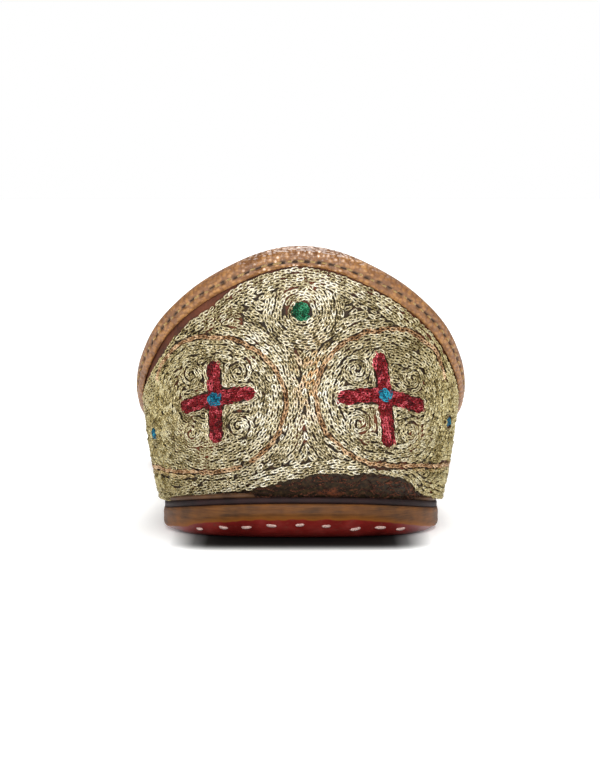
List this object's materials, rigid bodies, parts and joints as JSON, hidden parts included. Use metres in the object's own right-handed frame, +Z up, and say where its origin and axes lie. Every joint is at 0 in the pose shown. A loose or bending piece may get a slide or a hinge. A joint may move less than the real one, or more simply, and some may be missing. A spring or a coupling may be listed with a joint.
{
  "type": "mojari shoe",
  "caption": "Low slip-on leather mojari with a high rounded heel tab, bound collar, closed upper, layered leather sole and a toe that turns up a little.",
  "frame": {"origin": "on the floor, under the middle of the shoe's length and width", "axes": "+Z up, +Y along the shoe from heel to toe, +X to the right seen from behind the heel"},
  "size_m": [0.0856, 0.2818, 0.0672],
  "materials": {
    "outsole_leather": "smooth leather, brown at its cut edge, the underside painted glossy red",
    "midsole_leather": "dark matt leather edge",
    "insole_leather": "plain tan leather, slightly polished",
    "embroidered_upper": "leather closely covered in pale gold metallic chain stitch",
    "binding_leather": "pebbled tan leather with a soft sheen"
  },
  "bodies": {
    "root": {"outsole": "outsole_leather", "midsole": "midsole_leather", "insole": "insole_leather", "upper": "embroidered_upper", "collar_binding": "binding_leather"}
  },
  "joints": []
}
